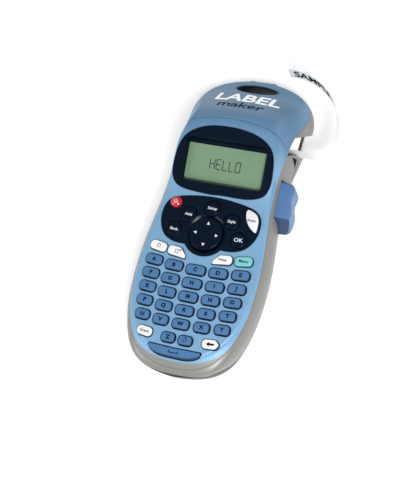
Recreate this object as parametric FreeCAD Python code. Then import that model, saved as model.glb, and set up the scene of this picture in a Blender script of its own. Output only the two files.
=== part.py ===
import FreeCAD, Part
import math
import os

# Handheld label maker, lying on its back.  Millimetres.
# X to the right, Y towards the head, Z out of the keypad.  The origin is on the rest plane, below the
# centre of the navigation pad.

V = FreeCAD.Vector

# ---------------------------------------------------------------- driving dimensions
KEY_Z = 44.0                # keypad plane above the rest plane
FACE_Z = KEY_Z - 3.5        # height at which the case meets the rounded rim of the face
TOP_Z = KEY_Z + 15.0        # side walls are drawn up to here, then cut by the front surface
WALL = 2.2                  # case wall
BASE_INSET = 9.0            # how far the flat back stands inside the widest outline
RIM_FILLET = 2.2            # rounding of the rim of the face
SEAM = 0.12                 # half the gap along the seam between the case halves
DOOR_GAP = 0.15             # half the gap along the seam of the cassette door
PIN_FIT = 0.06              # between a pin and its bore, on the radius
HINGE_GAP = 0.35            # round the hinge barrels
TUBE_WALL = 1.8             # wall round the finger hole
TILT = math.radians(16.8)   # display slope
FOLD_Y = 28.0               # where the display slope starts

KEY_GAP = 0.45              # between a key and its hole
KEY_FOOT = 37.6             # underside of the keys
KEY_RISE = 1.5              # how far a key stands above the face
ROW_PITCH = 8.9             # letter rows
FIRST_ROW_Y = -24.2
SMILE = 0.00269             # rows rise towards the sides as SMILE * x * x

NAV_R = 10.8                # navigation disc
LOBE_R = 14.85              # round lobe of the control panel around it
ROUND_KEY_R = 5.0
POWER_R = 3.8

TAPE_Y = 68.5               # centre line of the tape where it is printed and cut
TAPE_W = 12.0
TAPE_T = 0.25
TAPE_Z = 22.3               # lower edge of the tape
ROLL_R = 10.5
ROLL_X = -13.0
CASSETTE_Z = (20.6, 36.4)
PLATEN_X = 20.0
PLATEN_R = 3.9
PLATEN_GAP = 0.35
GEAR_MODULE = 0.75
PINION_TEETH = 10
PLATEN_TEETH = 18
GEAR_Z = 12.0
GEAR_H = 4.0

LEVER_PIVOT = V(34.2, 19.0, 0)
LEVER_Z = (21.2, 35.6)      # cutter lever, lower and upper face
PIVOT_PIN_R = 1.2
HINGE_Y = 121.3             # hinge of the cassette door, on the outer edge of the head end
HINGE_Z = 10.0
HINGE_R = 1.2               # hinge barrel
HINGE_PIN_R = 0.6
LUG_X = 7.0                 # the two lugs of the back shell that hold the hinge pin
HOLE = (13.3, 3.8)          # half axes of the finger hole in the head
HOLE_Y = 112.0

CELL_R = 7.1                # AA cells
CELL_L = 49.5
CELL_PITCH = 14.8
COVER_HALF = 30.5           # battery cover
COVER_TOP = 6.0
COVER_END_Y = -4.0

# Right halves of the case outlines, from the tail end (x = 0) round to the head end (x = 0): where the
# case is widest, at FACE_Z and at TOP_Z.
WIDEST = [(0, -90.6), (14, -88.6), (24.6, -84), (33, -75.4), (38.6, -62.5), (41.6, -49.5), (43, -35.5), (43.3, -21),
          (42.6, -7), (41, 8), (39.4, 24), (38.8, 40), (39.2, 52), (40.6, 63), (41.6, 74), (42.4, 85),
          (42.2, 95.5), (38.2, 105.5), (29.6, 114), (16, 119.4), (0, 121.4)]
FACE = [(0, -82.3), (12.3, -80.9), (21, -76.8), (28, -70), (33.6, -60.6), (37.4, -48.5), (38.8, -36), (39, -22),
        (38.2, -8), (36.6, 7), (34.9, 23), (34.6, 39), (35.2, 51), (35.6, 62), (34, 72), (31.6, 82),
        (27.4, 90.5), (21.5, 97.5), (14.5, 102), (7.4, 104.6), (0, 105.5)]
CREST = [(0, -80), (12, -78.6), (20.5, -74.8), (27.4, -68.4), (32.9, -59.4), (36.7, -47.8), (38.1, -35.6), (38.3, -22),
         (37.5, -8), (35.9, 7), (34.1, 22.6), (32.6, 37.5), (31.6, 48.5), (29.6, 59), (26.5, 68), (22.5, 75.6),
         (18, 81), (13.4, 85), (9, 87.6), (4.4, 89), (0, 89.5)]
# Height of the widest line along the case: (y, height above the rest plane).
WIDE_LINE = [(-110, 37), (-90, 36.5), (-84, 36), (-76, 34), (-68, 33), (-60, 32), (-50, 31.5), (-40, 30.5), (-30, 30),
             (0, 29), (20, 28.5), (40, 27), (56, 23.5), (72, 18), (88, 14), (104, 12.5), (125, 12)]
# Roundness of the sides above the widest line: (y, exponent), 1 is a flat slope.
SIDE_POWER = [(-110, 2), (30, 2), (55, 1.7), (75, 1.4), (125, 1.3)]
# The front is crowned across its width, and more so over the head: (y, drop per x squared).
CROWN = [(-110, 0.002), (30, 0.002), (45, 0.0022), (60, 0.004), (74, 0.007), (86, 0.0066), (100, 0.006), (130, 0.0055)]
# Centre line of the front surface: (y, height above the keypad plane).
PROFILE = [(-110, -6), (-92, -2.6), (-80, -0.8), (-66, 0), (-30, 0), (10, 0), (22, 0.1), (28, 0.6), (34, 1.9),
           (44, 4.8), (54, 7.85), (64, 10.9), (69, 12.3), (73, 12.8), (77, 11.9), (81, 9.0), (85.5, 4.2),
           (91, -1.6), (98, -9.0), (106, -17.6), (111, -22.3), (115, -25.4), (118.5, -28.4), (124, -34), (135, -46)]
# Seam between the front parts and the back shell: (y, height above the keypad plane).
SEAM_LINE = [(-110, -5), (50, -5), (62, -6), (76, -11.5), (87, -18), (94, -23), (103.5, -28.5), (111, -32), (118, -34),
             (135, -36)]
# Plan of the seam between the front shell and the cassette door, right half.
DOOR_SEAM = [(0, 74), (12, 73.8), (20, 73), (26.2, 71.9), (31, 69.8), (34.5, 67.2), (37.5, 64), (46, 54)]
# Right half of the display bezel and of the control panel (down to its round lobe).
BEZEL = [(0, 26.1), (14, 26.4), (24, 27.8), (30, 31), (32.8, 37), (33, 46), (31.9, 54), (28.8, 60.6), (21.5, 65.5),
         (12, 67.8), (0, 68.4)]
PANEL = [(12.03, -8.7), (17.6, -8.6), (23, -7.2), (27.4, -4.4), (30.6, 0), (32.5, 5.4), (32.9, 10.8), (32.2, 15.3),
         (29.2, 19.8), (22, 22.6), (13.5, 24), (0, 24.8)]


# ---------------------------------------------------------------- geometry helpers
def curve_value(points, y):
    """Height of a smooth line through (y, z) points."""
    last = len(points) - 1
    i = 0
    while i < last - 1 and y > points[i + 1][0]:
        i += 1

    def slope(k):
        a = points[max(k - 1, 0)]
        b = points[min(k + 1, last)]
        return (b[1] - a[1]) / (b[0] - a[0])

    (y0, z0), (y1, z1) = points[i], points[i + 1]
    span = y1 - y0
    t = (y - y0) / span
    h00 = (1 + 2 * t) * (1 - t) ** 2
    h10 = t * (1 - t) ** 2
    h01 = t * t * (3 - 2 * t)
    h11 = t * t * (t - 1)
    return h00 * z0 + h10 * span * slope(i) + h01 * z1 + h11 * span * slope(i + 1)


def front_z(x, y, offset=0.0):
    return KEY_Z + curve_value(PROFILE, y) - x * x * curve_value(CROWN, y) + offset


def full_loop(half):
    """Closed outline from its right half."""
    return list(half) + [(-x, y) for x, y in reversed(half[1:-1])]


def inset_each(loop, distances):
    """Moves every point of a closed anticlockwise outline inwards by its own distance."""
    moved = []
    count = len(loop)
    for i, (x, y) in enumerate(loop):
        ax, ay = loop[i - 1]
        bx, by = loop[(i + 1) % count]
        length = math.hypot(bx - ax, by - ay)
        moved.append((x - distances[i] * (by - ay) / length, y + distances[i] * (bx - ax) / length))
    return moved


def inset_loop(loop, distance):
    return inset_each(loop, [distance] * len(loop))


def spline_wire(loop, z):
    curve = Part.BSplineCurve()
    curve.interpolate([V(x, y, z) for x, y in loop], PeriodicFlag=True)
    return Part.Wire(curve.toShape())


def prism(face_or_wire, z0, z1):
    """Upright solid between two heights from a flat outline drawn at z = 0."""
    face = face_or_wire if isinstance(face_or_wire, Part.Face) else Part.Face(face_or_wire)
    solid = face.extrude(V(0, 0, z1 - z0))
    solid.translate(V(0, 0, z0))
    return solid


def box(x0, x1, y0, y1, z0, z1):
    return Part.makeBox(x1 - x0, y1 - y0, z1 - z0, V(x0, y0, z0))


def cylinder(x, y, z0, z1, radius):
    return Part.makeCylinder(radius, z1 - z0, V(x, y, z0))


def rounded_wire(points, radius):
    """Closed polygon with rounded corners, at z = 0."""
    count = len(points)
    corners = []
    for i in range(count):
        p = V(*points[i], 0)
        to_prev = V(*points[i - 1], 0) - p
        to_next = V(*points[(i + 1) % count], 0) - p
        half = to_prev.getAngle(to_next) / 2
        back = min(radius / math.tan(half), 0.47 * to_prev.Length, 0.47 * to_next.Length)
        r = back * math.tan(half)
        to_prev.normalize()
        to_next.normalize()
        bisector = to_prev + to_next
        bisector.normalize()
        middle = p + bisector * (r / math.sin(half) - r)
        corners.append((p + to_prev * back, middle, p + to_next * back))
    edges = []
    for i, (start, middle, end) in enumerate(corners):
        edges.append(Part.Arc(start, middle, end).toShape())
        edges.append(Part.LineSegment(end, corners[(i + 1) % count][0]).toShape())
    return Part.Wire(edges)


def ellipse_wire(a, b, y, z):
    ellipse = Part.Ellipse(V(0, y, z), a, b)
    return Part.Wire(ellipse.toShape())


def above_front(offset=0.0):
    """Everything above the front surface moved up by offset."""
    rows = []
    for i in range(35):
        y = -108.0 + 7.0 * i
        rows.append([V(x, y, front_z(x, y, offset)) for x in range(-75, 76, 15)])
    surface = Part.BSplineSurface()
    surface.interpolate(rows)
    return surface.toShape().extrude(V(0, 0, 90))


def front_slab(offset_low, offset_high):
    """Layer that follows the front surface."""
    return above_front(offset_low).cut(above_front(offset_high))


def above_seam(offset=0.0):
    """Everything above the seam between the front parts and the back shell."""
    curve = Part.BSplineCurve()
    ys = range(-106, 130, 8)
    curve.interpolate([V(-70, y, KEY_Z + curve_value(SEAM_LINE, y) + offset) for y in ys])
    sheet = curve.toShape().extrude(V(140, 0, 0))
    return sheet.extrude(V(0, 0, 90))


def door_region(offset=0.0):
    """Plan area of the cassette door, moved towards the head by offset."""
    points = [(-x, y) for x, y in reversed(DOOR_SEAM[1:])] + DOOR_SEAM
    curve = Part.BSplineCurve()
    curve.interpolate([V(x, y + offset, 0) for x, y in points])
    left, right = curve.StartPoint, curve.EndPoint
    corners = [right, V(70, right.y, 0), V(70, 140, 0), V(-70, 140, 0), V(-70, left.y, 0), left]
    edges = [curve.toShape()] + [Part.LineSegment(a, b).toShape() for a, b in zip(corners, corners[1:])]
    return prism(Part.Wire(edges), -5, 90)


def display_place(shape):
    """Moves a shape drawn on the flat (y along the slope from the fold) onto the display slope."""
    placed = shape.copy()
    placed.rotate(V(0, 0, 0), V(1, 0, 0), math.degrees(TILT))
    placed.translate(V(0, FOLD_Y, KEY_Z))
    return placed


# ---------------------------------------------------------------- case
def side_loop(z, inset):
    """Outline of the case at one height."""
    loop, insets = [], []
    for (wide_x, wide_y), (face_x, face_y), (crest_x, crest_y) in zip(*map(full_loop, (WIDEST, FACE, CREST))):
        wide_z = curve_value(WIDE_LINE, wide_y)
        extra = 0.0
        if z <= wide_z:
            x, y = wide_x, wide_y
            extra = BASE_INSET * (1 - z / wide_z) ** 2
        elif z <= FACE_Z:
            t = ((z - wide_z) / (FACE_Z - wide_z)) ** curve_value(SIDE_POWER, wide_y)
            x, y = wide_x + (face_x - wide_x) * t, wide_y + (face_y - wide_y) * t
        else:
            t = (z - FACE_Z) / (TOP_Z - FACE_Z)
            x, y = face_x + (crest_x - face_x) * t, face_y + (crest_y - face_y) * t
        loop.append((x, y))
        insets.append(inset + extra)
    return inset_each(loop, insets)


def case_block(inset=0.0):
    """Solid inside the case's outer surface, or inside its inner surface when inset is the wall."""
    levels = [0, 4, 8, 12, 16, 20, 24, 28, 32, 36.5, FACE_Z, 44, 48, 53.5, TOP_Z]
    wires = [spline_wire(side_loop(z, inset), z) for z in levels]
    block = Part.makeLoft(wires, True, False).cut(above_front(-inset))
    if inset > 0:
        block = block.cut(box(-80, 80, -120, 140, -5, inset))
    return max(block.Solids, key=lambda solid: solid.Volume)


def soften_rim(block):
    """Rounds the rim of the face, one half at a time."""
    half = block.common(box(0, 100, -150, 150, -5, 100)).Solids[0]
    front = max(half.Faces, key=lambda face: face.CenterOfMass.z)
    rim = [edge for edge in front.OuterWire.Edges if edge.BoundBox.XMax > 5]
    half = half.makeFillet(RIM_FILLET, rim)
    return half.fuse(half.mirror(V(0, 0, 0), V(1, 0, 0))).removeSplitter()


def finger_hole(grow=0.0):
    """Flared oval hole through the head."""
    a, b = HOLE
    low = ellipse_wire(a + grow, b + grow, HOLE_Y, -2)
    waist = ellipse_wire(a + grow, b + grow, HOLE_Y, 15)
    mouth = ellipse_wire(a + 4 + grow, b + 2.4 + grow, HOLE_Y, 32)
    return Part.makeLoft([low, waist], True, True).fuse(Part.makeLoft([waist, mouth], True, True)).removeSplitter()


def hinge_cylinder(middle_x, length, radius):
    """Cylinder on the axis of the cassette door's hinge."""
    return Part.makeCylinder(radius, length, V(middle_x - length / 2, HINGE_Y, HINGE_Z), V(1, 0, 0))


def tape_notch():
    """Slanted opening in the right side wall where the label leaves."""
    points = [(62, -5.5), (73.5, -5.5), (84.6, -24), (97.5, -46), (83.5, -46), (72, -24)]
    wire = Part.makePolygon([V(34.9, y, KEY_Z + z) for y, z in points + points[:1]])
    return Part.Face(wire).extrude(V(30, 0, 0))


def cover_region(clearance=0.0):
    c = clearance
    return box(-COVER_HALF - c, COVER_HALF + c, -100, COVER_END_Y + c, -3, COVER_TOP + c)


def lever_window():
    """Opening for the cutter lever; its lower end slopes like the lever's."""
    low_z, high_z = LEVER_Z[0] - 0.8, LEVER_Z[1] + 0.8
    points = [(13.3, low_z), (46.9, low_z), (46.9, high_z), (20.9, high_z), (13.3, low_z)]
    wire = Part.makePolygon([V(30, y, z) for y, z in points])
    return Part.Face(wire).extrude(V(30, 0, 0))


def build_case(solids):
    block = soften_rim(case_block())
    core = case_block(WALL)
    shell = block.cut(core)
    tube = finger_hole(TUBE_WALL).common(block)
    shell = shell.fuse(tube).cut(finger_hole())
    upper = shell.common(above_seam(SEAM))
    lower = shell.cut(above_seam(-SEAM))

    door = upper.common(door_region(DOOR_GAP))
    for side in (-1, 1):
        door = door.cut(hinge_cylinder(side * LUG_X, 4.8, HINGE_R + HINGE_GAP))
    door = door.fuse([hinge_cylinder(0, 9, HINGE_R), hinge_cylinder(0, 18, HINGE_PIN_R)])
    strap = box(-4.5, 4.5, HINGE_Y - 2.6, HINGE_Y, HINGE_Z, HINGE_Z + HINGE_R)
    solids["cassette_door"] = door.fuse(strap).removeSplitter()

    front = upper.cut(door_region(-DOOR_GAP))
    bezel_hole = prism(spline_wire(full_loop(BEZEL), 0), 20, 90)
    front = front.cut(bezel_hole).cut(prism(panel_wire(), 20, 90))
    holes = [prism(key_outline(key, KEY_GAP), KEY_FOOT - 8, 60) for key in KEYS if not key["on_panel"]]
    solids["front_shell"] = front.cut(holes)

    back = lower.cut(hinge_cylinder(0, 9.6, HINGE_R + HINGE_GAP))
    for side in (-1, 1):
        lug = hinge_cylinder(side * LUG_X, 4, HINGE_R)
        foot = box(side * LUG_X - 2, side * LUG_X + 2, HINGE_Y - 3.4, HINGE_Y, HINGE_Z - HINGE_R, HINGE_Z - 0.7)
        back = back.fuse(lug.fuse(foot))
    back = back.cut(hinge_cylinder(0, 19, HINGE_PIN_R + PIN_FIT))
    back = back.cut([tape_notch(), cover_region(0.3), lever_window()] + holes)
    back = back.cut(box(34, 60, TAPE_Y - 0.9, TAPE_Y + 0.9, TAPE_Z - 0.5, TAPE_Z + TAPE_W + 0.6))
    inner_limit = case_block(WALL - 0.6)
    for y in (COVER_END_Y + 0.4, -62.5):
        back = back.fuse(box(-40, 40, y, y + 1.4, COVER_TOP + 0.5, 20).common(inner_limit))
    posts = [cylinder(LEVER_PIVOT.x, LEVER_PIVOT.y, 1.0, 37.0, PIVOT_PIN_R).common(inner_limit)]
    posts += [cylinder(x, y, 1.8, CASSETTE_Z[0] - 0.2, 2.2) for x, y in ((-23, 72), (-23, 85), (2, 80))]
    solids["back_shell"] = back.fuse(posts)

    cover = block.cut(core).common(cover_region()).cut(box(-50, 50, -100, 20, -1, 0.4))
    for i in range(5):
        cover = cover.cut(box(-9 + i, 9 - i, -17 - 2.4 * i, -15.8 - 2.4 * i, 0, 1.0))
    solids["battery_cover"] = cover


# ---------------------------------------------------------------- display and control panel
def panel_wire(factor=1.0):
    """Control panel outline with the round lobe around the navigation pad."""
    half = [(x * factor, 5 + (y - 5) * factor) for x, y in PANEL]
    points = half + [(-x, y) for x, y in reversed(half[:-1])]
    curve = Part.BSplineCurve()
    curve.interpolate([V(x, y, 0) for x, y in points])
    arc = Part.Arc(V(*points[-1], 0), V(0, 5 - (LOBE_R + 5) * factor, 0), V(*points[0], 0))
    return Part.Wire([curve.toShape(), arc.toShape()])


def build_fascia(solids):
    """Dark moulding that shows as the display bezel and as the control panel."""
    inside_bezel = prism(spline_wire(inset_loop(full_loop(BEZEL), 0.1), 0), 20, 90)
    bezel = inside_bezel.common(front_slab(-2.0, 1.0))
    frame = display_place(box(-30.4, 30.4, 2.8, 36.2, -5.2, 0.2)).cut(above_front(0.5))
    bezel = bezel.fuse([frame.common(inside_bezel), frame.cut(above_front(-WALL - 0.3))])
    window_s = (46.5 - FOLD_Y) / math.cos(TILT)
    low = rounded_wire([(-25.7, window_s - 12.7), (25.7, window_s - 12.7), (25.7, window_s + 12.7),
                        (-25.7, window_s + 12.7)], 1.5)
    high = rounded_wire([(-28.9, window_s - 14.6), (28.9, window_s - 14.6), (28.9, window_s + 15.0),
                         (-28.9, window_s + 15.0)], 3.0)
    low.translate(V(0, 0, -5.4))
    high.translate(V(0, 0, 3.0))
    bezel = bezel.cut(display_place(Part.makeLoft([low, high], True, True)))

    panel = prism(panel_wire(0.995), 20, 90).common(front_slab(-2.0, 0.45))
    web = box(-12, 12, 20.5, 33.5, 40.2, 41.3).fuse(box(-12, 12, 20.5, 24.2, 41.2, 42.6))
    fascia = bezel.fuse([panel, web])
    fascia = fascia.cut([prism(key_outline(key, KEY_GAP), 30, 60) for key in KEYS if key["on_panel"]])
    trough = Part.makeCone(NAV_R + 0.4, LOBE_R - 0.9, 1.7, V(0, 0, KEY_Z - 0.9))
    fascia = fascia.cut(cylinder(0, 0, 30, 60, NAV_R + 0.5)).cut(trough)
    solids["fascia"] = fascia

    glass = box(-27.6, 27.6, window_s - 14.6, window_s + 14.6, -7.2, -5.4)
    reflector = box(-28.6, 28.6, window_s - 15.6, window_s + 15.6, -9.0, -7.2)
    tail = box(-14, 14, window_s - 18.0, window_s - 15.4, -8.6, -8.0)
    solids["lcd_module"] = display_place(glass.fuse([reflector, tail]))


# ---------------------------------------------------------------- keys
def letter_keys():
    """Five rows of five letters, then the last letter and the symbol key."""
    columns = [28.7, 28.5, 28.1, 27.4, 26.2]
    inner = [14.65, 14.7, 14.4, 14.0, 13.5]
    wide = [11.7, 11.6, 11.3, 10.8, 10.0]
    keys = []
    letters = "abcdefghijklmnopqrstuvwxy"
    for row in range(5):
        for column in range(5):
            x = (-columns[row], -inner[row], 0, inner[row], columns[row])[column]
            width = (wide[row], wide[row] + 0.5, wide[row] + 1.4, wide[row] + 0.5, wide[row])[column]
            y = FIRST_ROW_Y - ROW_PITCH * row + SMILE * x * x
            turn = math.degrees(math.atan(2 * SMILE * x)) * 0.5
            keys.append(make_key("key_" + letters[5 * row + column], x, y, width, 6.7, turn))
    keys.append(make_key("key_z", -5.6, -69.3, 9.4, 6.4, -1))
    keys.append(make_key("key_symbol", 5.6, -69.3, 9.4, 6.4, 1))
    return keys


def make_key(name, x, y, width, height, turn=0, shape="rect", on_panel=False, dome=46.0, rise=KEY_RISE):
    return {"name": name, "x": x, "y": y, "w": width, "h": height, "turn": turn, "shape": shape,
            "on_panel": on_panel, "dome": dome, "rise": rise}


def all_keys():
    keys = letter_keys()
    keys.append(make_key("key_caps", -28.2, -12.9, 11.6, 6.4, -9))
    keys.append(make_key("key_numbers", -15.2, -14.6, 12.6, 6.4, -7, "cut_right"))
    keys.append(make_key("key_preview", 15.2, -14.6, 12.6, 6.4, 7, "cut_left"))
    keys.append(make_key("key_menu", 28.2, -12.9, 11.6, 6.4, 9))
    keys.append(make_key("key_clear", -21.6, -68.2, 10.4, 6.2, -6))
    keys.append(make_key("key_backspace", 21.6, -68.2, 11.2, 6.2, 5, "point_right"))
    keys.append(make_key("key_space", 0, -77.4, 35.0, 5.8, 0, "bar", dome=300.0, rise=1.2))
    rounds = {"key_insert": (-14.4, 10.8), "key_settings": (0, 17.1), "key_format": (14.4, 10.8),
              "key_cancel": (-21.5, -0.2), "key_ok": (21.5, -0.2)}
    for name, (x, y) in rounds.items():
        keys.append(make_key(name, x, y, 2 * ROUND_KEY_R, 2 * ROUND_KEY_R, 0, "round", True, 30.0, 1.1))
    keys.append(make_key("key_power", -24.9, 17.8, 2 * POWER_R, 2 * POWER_R, 0, "round", True, 4.6, 2.9))
    keys.append(make_key("key_print", 27.0, 13.6, 9, 14, 0, "petal", True, 40.0, 1.6))
    return keys


def key_outline(key, grow=0.0):
    """Face of a key at z = 0, grown all round for its hole."""
    w, h = key["w"] / 2 + grow, key["h"] / 2 + grow
    corner = 2.7 + grow
    kind = key["shape"]
    if kind == "round":
        face = Part.Face(Part.Wire(Part.Circle(V(0, 0, 0), V(0, 0, 1), w).toShape()))
    elif kind == "petal":
        petal = [(-4.9, 7.2), (-1.6, 6.8), (1.9, 4.9), (4.0, 1.5), (4.5, -3.0), (3.7, -7.1), (1.3, -6.0), (-1.8, -3.2),
                 (-4.0, 0.3), (-5.3, 4.4)]
        face = Part.Face(spline_wire(inset_loop(list(reversed(petal)), -grow), 0))
    elif kind == "bar":
        low = [(-w + 1.6, -0.6), (-9, -h - 0.25), (0, -h - 0.6), (9, -h - 0.25), (w - 1.6, -0.6)]
        curve = Part.BSplineCurve()
        curve.interpolate([V(x, y, 0) for x, y in low])
        corners = [V(w - 1.6, -0.6, 0), V(w, h - 1.2, 0), V(w - 0.9, h, 0), V(0, h - 0.5, 0), V(-w + 0.9, h, 0),
                   V(-w, h - 1.2, 0), V(-w + 1.6, -0.6, 0)]
        edges = [curve.toShape()] + [Part.LineSegment(a, b).toShape() for a, b in zip(corners, corners[1:])]
        face = Part.Face(Part.Wire(edges))
    else:
        points = [(-w, -h), (w, -h), (w, h), (-w, h)]
        if kind == "cut_right":
            points = [(-w, -h), (w + 0.6, -h), (w + 0.2, -h + 2.4), (w - 4.4, h), (-w, h)]
        if kind == "cut_left":
            points = [(-w - 0.6, -h), (w, -h), (w, h), (-w + 4.4, h), (-w - 0.2, -h + 2.4)]
        if kind == "point_right":
            points = [(-w, -h), (w - 2.6, -h), (w + 0.6, 0), (w - 2.6, h), (-w, h)]
        face = Part.Face(rounded_wire(points, corner))
    face.rotate(V(0, 0, 0), V(0, 0, 1), key["turn"])
    face.translate(V(key["x"], key["y"], 0))
    return face


def build_key(key):
    """Domed cap with a rounded top edge and a plunger foot."""
    top = front_z(key["x"], key["y"]) + key["rise"]
    cap = prism(key_outline(key), KEY_FOOT, top)
    cap = cap.common(Part.makeSphere(key["dome"], V(key["x"], key["y"], top - key["dome"])))
    top_edges = [e for e in cap.Edges if e.BoundBox.ZMin > KEY_FOOT + 1]
    upright = [e for e in top_edges if e.BoundBox.ZMax - e.BoundBox.ZMin > 3]
    rim = [e for e in top_edges if e not in upright]
    try:
        rounded = cap.makeFillet(0.7, rim)
        return rounded if rounded.isValid() else cap
    except Part.OCCError:
        print("sharp top:", key["name"])
        return cap


def build_navigation(solids):
    """Dished disc that tilts on a central pivot."""
    top = KEY_Z + 0.9
    disc = cylinder(0, 0, KEY_Z - 3.0, top, NAV_R)
    rim = [e for e in disc.Edges if e.BoundBox.ZMin > top - 0.1]
    disc = disc.makeFillet(0.9, rim)
    disc = disc.cut(Part.makeSphere(70, V(0, 0, top + 69.2)))
    solids["nav_pad"] = disc.fuse(cylinder(0, 0, KEY_Z - 4.0, KEY_Z - 2.5, 4.2))
    post = cylinder(0, 0, KEY_FOOT - 0.6, KEY_Z - 4.5, 2.2)
    solids["nav_pivot"] = post.fuse(Part.makeCylinder(0.7, 7.0, V(-3.5, 0, KEY_Z - 5.3), V(1, 0, 0)))


# ---------------------------------------------------------------- electronics
def build_electronics(solids):
    outline = [(0, -79), (12, -77.8), (20, -74), (26.5, -67.5), (31.5, -58), (34.5, -46), (35.5, -30), (35, -12),
               (33, 4), (31, 16), (29, 24), (16, 26), (0, 26)]
    mat = prism(spline_wire(full_loop(outline), 0), 35.3, 36.5)
    solids["keypad_mat"] = mat.cut(cylinder(0, 0, 30, 50, 5.0))
    board = prism(spline_wire(inset_loop(full_loop(outline), 0.8), 0), 33.5, 35.1)
    chips = [box(-9, 3, -40, -28, 31.9, 33.6), box(12, 20, -20, -12, 32.0, 33.6), box(-24, -12, 14, 22, 31.5, 33.6),
             cylinder(20, -48, 26, 33.6, 3.2), cylinder(27, -40, 27.5, 33.6, 2.5), box(14, 26, 12, 16, 29, 33.6)]
    solids["circuit_board"] = board.fuse(chips)
    cells = []
    for i in range(4):
        x = (i - 1.5) * CELL_PITCH
        nub = 1 if i % 2 else -1
        cell = Part.makeCylinder(CELL_R, CELL_L - 1.2, V(x, -58.5, 11.2), V(0, 1, 0))
        cell = cell.makeFillet(0.6, [e for e in cell.Edges if e.Length > 20 and len(e.Vertexes) == 1])
        button_y = -58.5 + (CELL_L - 1.2 if nub > 0 else -1.2)
        cells.append(cell.fuse(Part.makeCylinder(2.7, 1.2, V(x, button_y, 11.2), V(0, 1, 0))))
    solids["batteries"] = Part.makeCompound(cells)


# ---------------------------------------------------------------- printing mechanism
def gear(teeth, x, y, phase, bore):
    """Spur gear with straight-sided teeth."""
    pitch_r = GEAR_MODULE * teeth / 2
    outer, root = pitch_r + 0.8 * GEAR_MODULE, pitch_r - 1.15 * GEAR_MODULE
    step = 2 * math.pi / teeth
    points = []
    for i in range(teeth):
        middle = phase + i * step
        for radius, share in ((root, -0.33), (outer, -0.11), (outer, 0.11), (root, 0.33)):
            angle = middle + share * step
            points.append(V(x + radius * math.cos(angle), y + radius * math.sin(angle), 0))
    body = prism(Part.makePolygon(points + points[:1]), GEAR_Z, GEAR_Z + GEAR_H)
    return body.cut(cylinder(x, y, GEAR_Z - 1, GEAR_Z + GEAR_H + 1, bore)) if bore else body


def build_mechanism(solids):
    platen_y = TAPE_Y - TAPE_T / 2 - PLATEN_GAP - PLATEN_R
    pinion_y = platen_y - GEAR_MODULE * (PINION_TEETH + PLATEN_TEETH) / 2
    roller = cylinder(PLATEN_X, platen_y, 21.0, 35.4, PLATEN_R).fuse(cylinder(PLATEN_X, platen_y, 6.0, 37.0, 1.5))
    half_step = math.pi / PLATEN_TEETH
    solids["platen_roller"] = roller.fuse(gear(PLATEN_TEETH, PLATEN_X, platen_y, -math.pi / 2 + half_step, 0))
    shaft = cylinder(PLATEN_X, pinion_y, GEAR_Z - 1.5, 17.4, 1.0)
    solids["drive_gear"] = gear(PINION_TEETH, PLATEN_X, pinion_y, math.pi / 2, 0).fuse(shaft)
    can = cylinder(PLATEN_X, pinion_y, 18.0, 34.0, 7.4).common(box(0, 40, pinion_y - 6, pinion_y + 6, 10, 40))
    can = can.fuse(cylinder(PLATEN_X, pinion_y, 34.0, 35.0, 2.2))
    solids["feed_motor"] = can.cut(cylinder(PLATEN_X, pinion_y, 16, 19.0, 1.35))

    head_y = TAPE_Y + TAPE_T / 2 + PLATEN_GAP
    element = box(PLATEN_X - 3, PLATEN_X + 3, head_y, head_y + 1.2, 21.6, 35.0)
    sink = box(PLATEN_X - 5, PLATEN_X + 8, head_y + 1.2, head_y + 3.0, 19.0, 36.0)
    base = box(PLATEN_X - 5, PLATEN_X + 11, head_y + 1.2, head_y + 9, 17.0, 19.0)
    guide = box(30.0, 32.4, TAPE_Y - 5.6, TAPE_Y + 6.5, 17.0, 36.4)
    guide = guide.cut(box(29, 33, TAPE_Y - 0.9, TAPE_Y + 0.9, 21.5, 35.2))
    legs = [cylinder(x, head_y + 6.5, WALL, 17.2, 2.0) for x in (PLATEN_X - 2, PLATEN_X + 8)]
    guide_foot = box(PLATEN_X + 8, 32.4, head_y + 1.2, head_y + 7, 17.0, 19.0)
    solids["print_head"] = element.fuse([sink, base, guide, guide_foot] + legs)

    build_cassette(solids)
    blade = Part.makePolygon([V(33.7, y, z) for y, z in ((53, 21), (66.0, 21), (67.2, 28.3), (66.0, 35.6), (53, 35.6),
                                                        (53, 21))])
    plate = Part.Face(blade).extrude(V(0.5, 0, 0))
    solids["cutter_blade"] = plate.fuse(box(31.6, 33.8, 50, 55.5, 23, 33.6))


def build_cassette(solids):
    outline = rounded_wire([(-29, 66), (12, 66), (12, 76), (4, 90.6), (-29, 90.6)], 7)
    hollow = rounded_wire([(-27.9, 67.1), (10.9, 67.1), (10.9, 75.8), (3.2, 89.6), (-27.9, 89.6)], 6)
    low, high = CASSETTE_Z
    case = prism(outline, low, high).cut(prism(hollow, low + 1.2, high - 1.2))
    roll_y = TAPE_Y + ROLL_R - TAPE_T / 2
    hub = cylinder(ROLL_X, roll_y, low + 0.2, high - 0.2, 3.6).cut(cylinder(ROLL_X, roll_y, 20, 37, 2.2))
    case = case.cut(cylinder(ROLL_X, roll_y, 20, 37, 2.2)).fuse(hub)
    slot = box(9, 13, TAPE_Y - 0.9, TAPE_Y + 0.9, 21.9, 35.1)
    windows = [box(-32, -26, 75, 84, 25, 32), cylinder(4.5, 84.0, 20, 37, 0.9)]
    solids["tape_cassette"] = case.cut([slot] + windows)


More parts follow.
